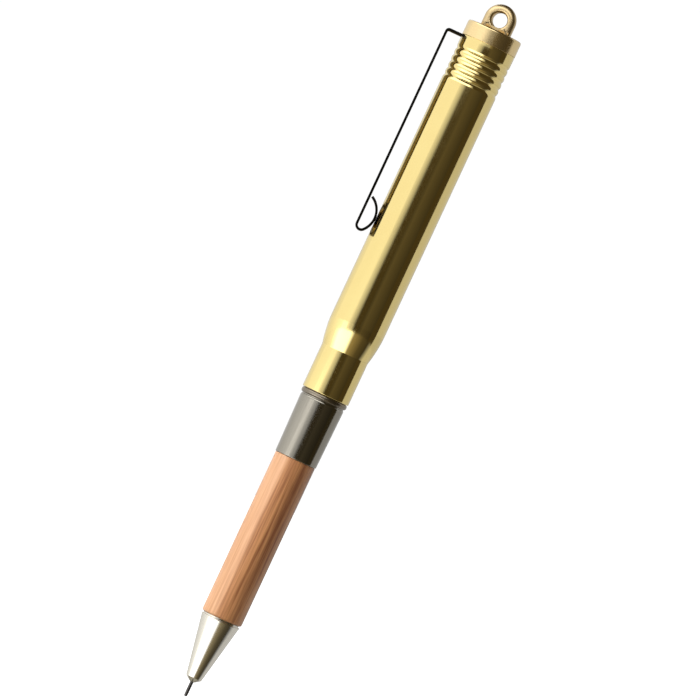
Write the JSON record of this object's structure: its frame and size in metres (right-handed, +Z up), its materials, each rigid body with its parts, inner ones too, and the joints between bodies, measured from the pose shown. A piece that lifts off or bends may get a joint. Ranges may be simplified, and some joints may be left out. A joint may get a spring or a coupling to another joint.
{
  "type": "ballpoint pen",
  "caption": "Slim brass ballpoint pen: tube barrel with ridges, lanyard eye and spring clip, and a pull-out writing unit with dark ferrule, wood grip and screw-off nose cone.",
  "frame": {"origin": "centre of the hole in the lanyard eye, from which the pen hangs with its writing end down", "axes": "+Z up along the pen from the ball to the lanyard eye, -X to the side where the clip is, -Y to the viewer who sees the clip on the left"},
  "size_m": [0.0137, 0.0106, 0.1408],
  "materials": {
    "brass": "polished, unlacquered brass",
    "black_steel": "spring steel strip, black and satin",
    "gunmetal": "dark nickel plate, satin",
    "wood": "cedar-like wood with a satin clear coat",
    "nickel": "polished nickel plate",
    "steel": "fine drawn steel",
    "ink": "ink, wet and dark"
  },
  "bodies": {
    "barrel": {"barrel": "brass", "eye_cap": "brass", "clip_ring": "black_steel"},
    "clip": {"clip_arm": "black_steel"},
    "writing_unit": {"ferrule": "gunmetal", "end_plug": "brass", "wood_grip": "wood", "liner_tube": "brass", "front_bush": "brass"},
    "refill": {"refill_tube": "steel", "refill_point": "steel", "ink": "ink"},
    "nose_cone": {"nose_cone": "nickel"},
    "point_ball": {"point_ball": "steel"}
  },
  "joints": [
    {"name": "clip_flex", "type": "hinge", "parent": "barrel", "child": "clip", "pos_m": [-0.0082, 0, -0.00601], "axis": [0, 1, 0], "range_deg": [0, 7], "stiffness_Nm_per_rad": 0.16, "springref_deg": -1.15},
    {"name": "unit_pull", "type": "slide", "parent": "barrel", "child": "writing_unit", "axis": [0, 0, -1], "range_m": [0, 0.025]},
    {"name": "refill_feed", "type": "slide", "parent": "writing_unit", "child": "refill", "axis": [0, 0, -1], "range_m": [0, 0.006]},
    {"name": "nose_turn", "type": "hinge", "parent": "refill", "child": "nose_cone", "pos_m": [0, 0, -0.1219], "axis": [0, 0, -1], "range_deg": [0, 2880]},
    {"name": "ball_roll", "type": "hinge", "parent": "refill", "child": "point_ball", "pos_m": [0, 0, -0.13755], "axis": [-1, 0, 0], "continuous": true}
  ],
  "couplings": [
    {"joint": "nose_turn", "follows": "refill_feed", "rad_per_m": 8377.6}
  ]
}
